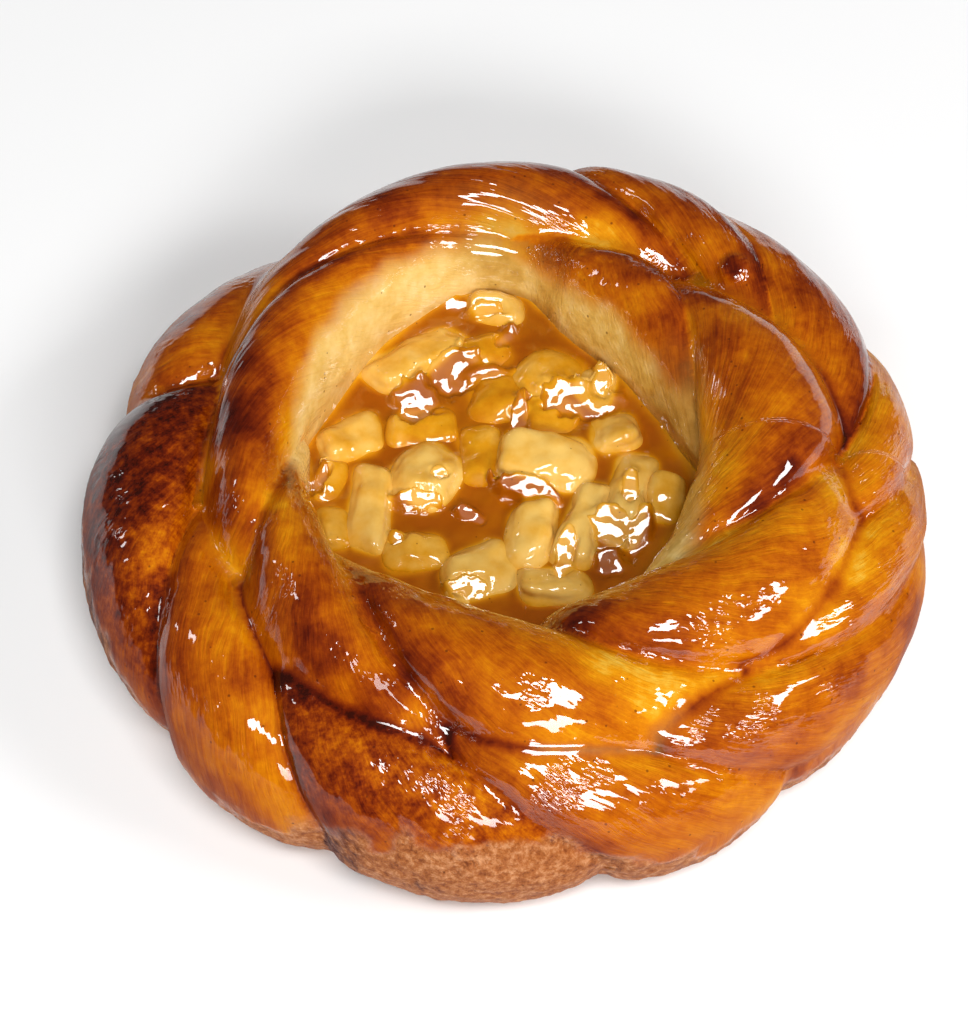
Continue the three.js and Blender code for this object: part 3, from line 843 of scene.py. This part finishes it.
def placed_apple(spots, apple, piece):
    """Cuts a block's points a little out of square, in its own way, and puts them in place."""
    x, y, top, length, width, height, turn = apple
    along, across, up = (spots / (length, width, height)).T
    narrow = 1 + APPLE_SKEW * uneven(piece, 1) * along
    slant = APPLE_SKEW * uneven(piece, 2) * across
    tilt = APPLE_SKEW * (uneven(piece, 3) * along + uneven(piece, 4) * across)
    first, second = turned(length * along + width * slant, width * across * narrow, turn)
    third = height * (up + tilt) + top - height / 2
    return np.stack([first + x + COIL_OFFSET[0], second + y + COIL_OFFSET[1], third], axis=1)


def block_mesh(name, cuts):
    """A closed cube from -0.5 to 0.5, cut into squares."""
    spots, faces, known = [], [], {}

    def corner(spot):
        key = tuple(spot)
        if key not in known:
            known[key] = len(spots)
            spots.append(key)
        return known[key]

    for axis, side in itertools.product(range(3), (0, cuts)):
        for i, j in itertools.product(range(cuts), repeat=2):
            ring = [(i, j), (i + 1, j), (i + 1, j + 1), (i, j + 1)]
            if side == 0:
                ring.reverse()
            faces.append([corner(np.roll((side, a, b), axis)) for a, b in ring])
    mesh = bpy.data.meshes.new(name)
    mesh.from_pydata((np.array(spots) / cuts - 0.5).tolist(), [], faces)
    return mesh


def sunk_tone(apple):
    """How deep in the syrup a piece looks: 0 is bare, and 1 is as dark as the syrup."""
    return BARE_TONE + SUNK_TONE * fade(apple[2], BARE_TOP, SUNK_TOP)


# Patches of wet surface that face the light: [x, y, z, half length, half width, turn].
SPLASHES = [
    (-7.3, 22.8, 17.9, 2.5, 2.1, 35), (-13.2, 17.6, 17.8, 1.9, 2.2, 0), (10.4, 17.8, 18.2, 3.7, 1.7, -8),
    (13.7, 20.6, 18.6, 0.9, 1.5, 0), (1.8, 15.2, 18.0, 0.8, 1.9, -8), (2.9, 1.5, 19.4, 2.8, 1.0, -10),
    (-12.5, -0.4, 18.8, 2.4, 0.8, 0), (14.6, -4.9, 18.9, 1.9, 1.8, 0), (18.7, -5.6, 18.3, 0.9, 2.4, -15),
    (14.4, -10.5, 17.9, 1.3, 1.2, 0), (8.2, -9.2, 18.8, 0.9, 2.4, -12), (17.5, 1.6, 19.0, 0.8, 1.6, -8),
    (-5.2, -15.0, 18.6, 2.0, 0.9, 0), (-5.2, -2.2, 17.4, 1.4, 0.6, -25), (-26.2, 3.9, 17.7, 0.6, 1.6, -20),
    (-9.3, 3.8, 19.2, 0.8, 0.7, 0), (-15.4, -6.7, 18.2, 0.8, 0.7, 0), (-7.7, 35.4, 17.7, 1.2, 0.8, 0),
    (-2.8, 33.9, 18.7, 1.6, 0.8, 0), (-0.1, 29.5, 17.6, 0.6, 1.5, -30), (-2.8, 22.6, 17.9, 2.1, 0.6, 10),
]
SPLASH_EDGE, SPLASH_CORE = 2.1, 1.35  # where a patch fades out, as shares of its half sizes
FACET_X, FACET_Y = -0.06, 0.56  # how far those patches rise along +X and +Y
FILM = 0.35  # thickness of the syrup on them
SPLASH_RAGGED = [(0.3, 1.6, 31)]
APPLE_CUTS = 20
APPLE_LUMPS = [(0.7, 4.5, 11), (0.25, 2.2, 12)]
APPLE_APART = 40.0  # shifts each piece's lumps
# Heights over the syrup's level: where a piece's foot spreads, where it takes the syrup's
# colour, and from where it can be wet.
FOOT_HEIGHTS, FOOT_COLORED, WET_FROM = (1.3, 0.2), (1.2, 0.0), -0.5
LEAST_SIDEWAYS = 0.3  # keeps the foot's spread small where a piece faces up


def wetted(points, film, movable=True):
    """Heights of a surface with the wet patches set into it, or film below them."""
    height = points[:, 2].copy()
    ragged = 1 + layered(points, SPLASH_RAGGED)
    for x, y, level, half_length, half_width, turn in SPLASHES:
        dx, dy = points[:, 0] - x, points[:, 1] - y
        along, across = turned(dx, dy, -turn)
        reach = np.hypot(along / half_length, across / half_width) * ragged
        facet = level - film + FACET_X * dx + FACET_Y * dy
        height += movable * fade(reach, SPLASH_EDGE, SPLASH_CORE) * (facet - height)
    return height


def rounded_block(mesh, size):
    """The points of a cube's mesh at full size, with its edges and corners rounded."""
    flat = vertices_of(mesh) * MM * size
    corner = APPLE_ROUNDING * size.min()
    inner = np.clip(flat, corner - size / 2, size / 2 - corner)
    out = flat - inner
    return inner + out / np.maximum(np.linalg.norm(out, axis=1), TINY)[:, None] * corner


def make_apple(apple, piece, material):
    name = f"apple_{piece + 1:02d}"
    size = np.array(apple[3:6])
    mesh = block_mesh(name, APPLE_CUTS)
    spots = rounded_block(mesh, size)
    points = placed_apple(spots, apple, piece)
    along, across, up = (spots / size / np.linalg.norm(spots / size, axis=1)[:, None]).T
    outward = np.stack([*turned(along, across, apple[6]), up], axis=1)
    lumps = layered(points + APPLE_APART * piece, APPLE_LUMPS)
    points += outward * (APPLE_SWELL + lumps)[:, None]
    foot = APPLE_FOOT * fade(points[:, 2] - SYRUP_LEVEL, *FOOT_HEIGHTS)
    sideways = np.maximum(np.hypot(outward[:, 0], outward[:, 1]), LEAST_SIDEWAYS)
    points[:, :2] += outward[:, :2] * (foot / sideways)[:, None]
    points[:, 2] = wetted(points, FILM, points[:, 2] > SYRUP_LEVEL + WET_FROM)
    set_vertices(mesh, points)
    low = fade(points[:, 2] - SYRUP_LEVEL, *FOOT_COLORED)
    paint(mesh, "depth", sunk_tone(apple) + FOOT_TONE * low)
    new_piece("fruit_" + name, mesh, material, "fruit", name)


def make_apples():
    material = wet_material("cooked_apple", *APPLE)
    for piece, apple in enumerate(APPLES):
        make_apple(apple, piece, material)


# ---- syrup ----

SYRUP_RINGS, SYRUP_SPOKES = 90, 300
SYRUP_INTO_WALL = 0.3
SYRUP_BOTTOM = 10.0
MENISCUS, MENISCUS_WIDTH = 0.9, 1.4
COLLAR_WIDTH = 1.4  # how far out from a piece the syrup that clings to it runs
COLLAR_CLIMB, LEAST_CLIMB, MOST_CLIMB = 0.3, 0.2, 0.8  # as a share of the piece's height, in mm
# The syrup's tone on the scale of FILLING, and how far from a piece or the wall it gets there.
SYRUP_TONE, SYRUP_CLEARING = 0.94, 0.75
WALL_TONE, WALL_CLEARING = 0.42, 0.9
FILM_ANGLE, FILM_SPREAD, FILM_WIDTH = -0.35, 0.4, 2.6  # the paler film on the well's right side
WELL_LEAST, WELL_MOST, HALVINGS = 12.0, 42.0, 24  # where the wall is looked for, and how finely
SYRUP_WAVES = [(0.35, 5.0, 21), (0.06, 2.0, 22)]
COLLAR_RAGGED = [(0.4, 3.2, 23)]


def wall_reach(angles, level):
    """How far from the coil's centre the dough begins at a level, along each angle."""
    low, high = np.full(len(angles), WELL_LEAST), np.full(len(angles), WELL_MOST)
    for _ in range(HALVINGS):
        middle = (low + high) / 2
        spots = np.stack([
            middle * np.cos(angles) + COIL_OFFSET[0],
            middle * np.sin(angles) + COIL_OFFSET[1],
            np.full(len(angles), level),
        ], axis=1)
        inside = dough_field(spots) < 0
        high = np.where(inside, middle, high)
        low = np.where(inside, low, middle)
    return high


def apple_distances(spots, apple, piece):
    """Distance in plan from a piece of apple's sides, and distance from its whole surface."""
    x, y, top, length, width, height, turn = apple
    dx, dy = spots[:, 0] - x - COIL_OFFSET[0], spots[:, 1] - y - COIL_OFFSET[1]
    along, across = turned(dx, dy, -turn)
    across = across / width
    along = along / length - APPLE_SKEW * uneven(piece, 2) * across * width / length
    across = across / (1 + APPLE_SKEW * uneven(piece, 1) * along)
    tilt = APPLE_SKEW * (uneven(piece, 3) * along + uneven(piece, 4) * across)
    up = (spots[:, 2] - top) / height + 0.5 - tilt
    size = np.array([length, width, height])
    corner = APPLE_ROUNDING * size.min()
    beyond = np.abs(np.stack([along, across, up], axis=1)) * size - size / 2 + corner

    def rounded(part):
        return np.linalg.norm(np.maximum(part, 0), axis=1) + np.minimum(part.max(1), 0) - corner

    return rounded(beyond[:, :2]), rounded(beyond)


def syrup_surface(top, to_wall, spoke):
    """How far the syrup rises above its level, and its tone, for each point of its top."""
    rise = MENISCUS * np.exp(-to_wall / MENISCUS_WIDTH)
    from_film = (spoke - FILM_ANGLE + math.pi) % (2 * math.pi) - math.pi
    clearing = WALL_CLEARING + FILM_WIDTH * bell(from_film, FILM_SPREAD)
    depth = SYRUP_TONE - (SYRUP_TONE - WALL_TONE) * bell(to_wall, clearing)
    ragged = layered(top, COLLAR_RAGGED)
    for piece, apple in enumerate(APPLES):
        gap, distance = apple_distances(top, apple, piece)
        away = 1 - bell(np.maximum(distance - APPLE_SWELL, 0), SYRUP_CLEARING)
        tone = sunk_tone(apple) + FOOT_TONE
        depth = np.minimum(depth, tone + (SYRUP_TONE - tone) * away)
        gap = gap + ragged
        climb = np.clip((apple[2] - SYRUP_LEVEL) * COLLAR_CLIMB, LEAST_CLIMB, MOST_CLIMB)
        rise = np.maximum(rise, climb * np.exp(-np.maximum(gap, 0) / COLLAR_WIDTH))
    return rise + layered(top, SYRUP_WAVES), depth


def disc_faces(rings, spokes, top_count):
    """Faces of a disc of rings round a middle point, with its outer wall and a flat fan below."""
    faces = []
    for j in range(spokes):
        k = (j + 1) % spokes
        faces.append([0, 1 + j, 1 + k])
        for i in range(rings):
            inner, outer = 1 + i * spokes, 1 + (i + 1) * spokes
            faces.append([inner + j, outer + j, outer + k, inner + k])
        faces.append([top_count + j, top_count + spokes, top_count + k])
    return faces


def make_syrup():
    angles = np.linspace(0, 2 * math.pi, SYRUP_SPOKES, endpoint=False)
    reach = wall_reach(angles, SYRUP_LEVEL + MENISCUS) + SYRUP_INTO_WALL
    shares = np.linspace(0, 1, SYRUP_RINGS + 1)[1:]
    share, angle = np.meshgrid(shares, angles, indexing="ij")
    distance = share * reach[None, :]
    middle = [COIL_OFFSET[0], COIL_OFFSET[1], SYRUP_LEVEL]
    rings = np.stack([
        distance * np.cos(angle) + COIL_OFFSET[0],
        distance * np.sin(angle) + COIL_OFFSET[1],
        np.full_like(distance, SYRUP_LEVEL),
    ], axis=2).reshape(-1, 3)
    top = np.vstack([[middle], rings])
    to_wall = np.concatenate([[reach.min()], ((1 - share) * reach[None, :]).ravel()])
    rise, depth = syrup_surface(top, to_wall, np.concatenate([[math.pi], angle.ravel()]))
    top[:, 2] += rise
    top[:, 2] = wetted(top, film=0)
    base = top[-SYRUP_SPOKES:].copy()
    base[:, 2] = SYRUP_BOTTOM
    points = np.vstack([top, base, [[COIL_OFFSET[0], COIL_OFFSET[1], SYRUP_BOTTOM]]])
    mesh = bpy.data.meshes.new("syrup")
    mesh.from_pydata(points.tolist(), [], disc_faces(SYRUP_RINGS, SYRUP_SPOKES, len(top)))
    set_vertices(mesh, points)
    paint(mesh, "depth", np.concatenate([depth, np.ones(len(points) - len(top))]))
    new_piece("syrup_pool", mesh, wet_material("amber_syrup", *SYRUP), "syrup", "syrup")


# ---- studio ----

LIGHT_DISTANCE = 1500
# Softboxes: [name, azimuth, elevation, width and height in degrees, brightness].
LIGHTS = [
    ["front_high", 14, 66, 27, 12, 24],
    ["front_low", 10, 33, 27, 11, 22],
    ["side_right", 75, 38, 15, 12, 21],
    ["side_left", -105, 30, 4, 14, 12],
]
FLOOR_HALF = 2.0  # metres
FLOOR_TONE, FLOOR_ROUGHNESS = 0.9, 0.8
WORLD_STRENGTH = 0.05
EXPOSURE = -0.15


def direction(azimuth, elevation):
    """Towards a place round the danish. Azimuth 0 is the viewer's side, and 90 the right."""
    a, e = math.radians(azimuth), math.radians(elevation)
    return Vector((math.sin(a) * math.cos(e), -math.cos(a) * math.cos(e), math.sin(e)))


def make_camera():
    data = bpy.data.cameras.new("camera")
    camera = bpy.data.objects.new("camera", data)
    bpy.context.scene.collection.objects.link(camera)
    back = direction(0, CAMERA_ELEVATION)
    camera.location = (Vector(AIM) + back * CAMERA_DISTANCE) * MM
    camera.rotation_mode = "QUATERNION"
    camera.rotation_quaternion = (-back).to_track_quat("-Z", "Y")
    longer = max(IMAGE_WIDTH, IMAGE_HEIGHT)
    data.sensor_width = SENSOR
    data.lens = PIXELS_PER_MM * CAMERA_DISTANCE * SENSOR / longer
    data.shift_x = -(AIM_PIXEL[0] - IMAGE_WIDTH / 2) / longer
    data.shift_y = (AIM_PIXEL[1] - IMAGE_HEIGHT / 2) / longer
    data.clip_start = NEAREST_SEEN
    bpy.context.scene.camera = camera


def make_light(name, azimuth, elevation, width, height, brightness):
    """A far softbox, by the angles that it fills as seen from the danish."""
    distance = LIGHT_DISTANCE * MM
    across, tall = (2 * distance * math.tan(math.radians(angle) / 2) for angle in (width, height))
    data = bpy.data.lights.new(name, "AREA")
    data.shape = "RECTANGLE"
    data.size, data.size_y = across, tall
    data.energy = brightness * math.pi * across * tall
    light = bpy.data.objects.new(name, data)
    bpy.context.scene.collection.objects.link(light)
    towards = direction(azimuth, elevation)
    light.location = (Vector(AIM) + towards * LIGHT_DISTANCE) * MM
    light.rotation_mode = "QUATERNION"
    light.rotation_quaternion = (-towards).to_track_quat("-Z", "Y")


def make_floor():
    mesh = bpy.data.meshes.new("floor")
    ends = (-FLOOR_HALF, FLOOR_HALF)
    corners = [(x, y, 0) for x, y in itertools.product(ends, repeat=2)]
    mesh.from_pydata(corners, [], [(0, 2, 3, 1)])
    s = Shader("pale_floor")
    tone = (FLOOR_TONE, FLOOR_TONE, FLOOR_TONE, 1)
    mesh.materials.append(s.finish(Base_Color=tone, Roughness=FLOOR_ROUGHNESS))
    stage = bpy.data.objects.new("floor", mesh)
    bpy.context.scene.collection.objects.link(stage)


def make_studio():
    make_floor()
    for light in LIGHTS:
        make_light(*light)
    world = bpy.data.worlds.new("studio")
    world.use_nodes = True
    background = world.node_tree.nodes["Background"]
    background.inputs["Color"].default_value = (1, 1, 1, 1)
    background.inputs["Strength"].default_value = WORLD_STRENGTH
    scene = bpy.context.scene
    scene.world = world
    scene.view_settings.view_transform = "Standard"
    scene.view_settings.exposure = EXPOSURE


make_camera()
make_dough()
make_syrup()
make_apples()
make_studio()
